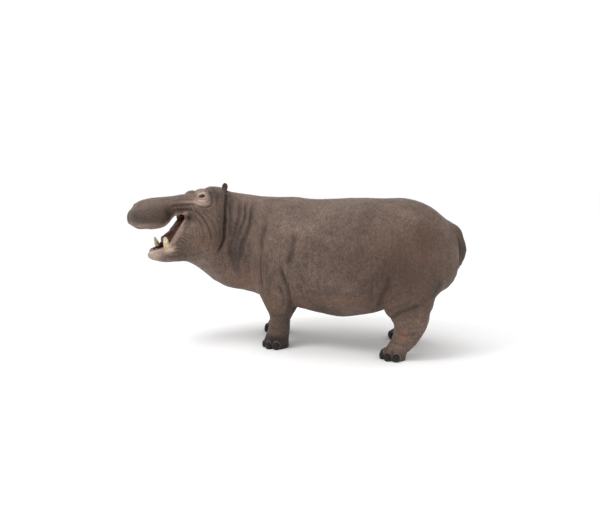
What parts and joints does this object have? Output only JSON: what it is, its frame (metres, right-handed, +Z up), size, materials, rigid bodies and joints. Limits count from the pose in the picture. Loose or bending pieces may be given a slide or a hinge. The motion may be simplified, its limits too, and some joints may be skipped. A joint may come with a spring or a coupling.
{
  "type": "hippopotamus",
  "caption": "Still, life-size hippopotamus standing on all fours with its head turned to its left and its mouth open, showing tusks and tongue.",
  "frame": {"origin": "on the floor under the middle of the whole figure's bounding box", "axes": "+Z up, the body faces -Y with the tail towards +Y, and its left side is +X"},
  "size_m": [1.5162, 3.0346, 1.5571],
  "materials": {
    "hide": "matt, finely wrinkled skin",
    "mouth": "wet, smooth",
    "ivory": "semi-matt ivory",
    "horn": "semi-matt horn",
    "eye": "wet and glossy"
  },
  "bodies": {
    "root": {"head": "hide", "lower_jaw": "hide", "neck": "hide", "trunk": "hide", "tail": "hide", "ear_left": "hide", "ear_right": "hide", "front_left_leg": "hide", "front_left_foot": "hide", "front_left_nail_1": "horn", "front_left_nail_2": "horn", "front_left_nail_3": "horn", "front_left_nail_4": "horn", "front_right_leg": "hide", "front_right_foot": "hide", "front_right_nail_1": "horn", "front_right_nail_2": "horn", "front_right_nail_3": "horn", "front_right_nail_4": "horn", "hind_left_leg": "hide", "hind_left_foot": "hide", "hind_left_nail_1": "horn", "hind_left_nail_2": "horn", "hind_left_nail_3": "horn", "hind_left_nail_4": "horn", "hind_right_leg": "hide", "hind_right_foot": "hide", "hind_right_nail_1": "horn", "hind_right_nail_2": "horn", "hind_right_nail_3": "horn", "hind_right_nail_4": "horn", "tongue": "mouth", "eye_left": "eye", "tusk_left": "ivory", "upper_canine_left": "ivory", "lower_incisor_left_1": "ivory", "upper_incisor_left_1": "ivory", "lower_incisor_left_2": "ivory", "upper_incisor_left_2": "ivory", "eye_right": "eye", "tusk_right": "ivory", "upper_canine_right": "ivory", "lower_incisor_right_1": "ivory", "upper_incisor_right_1": "ivory", "lower_incisor_right_2": "ivory", "upper_incisor_right_2": "ivory"}
  },
  "joints": []
}
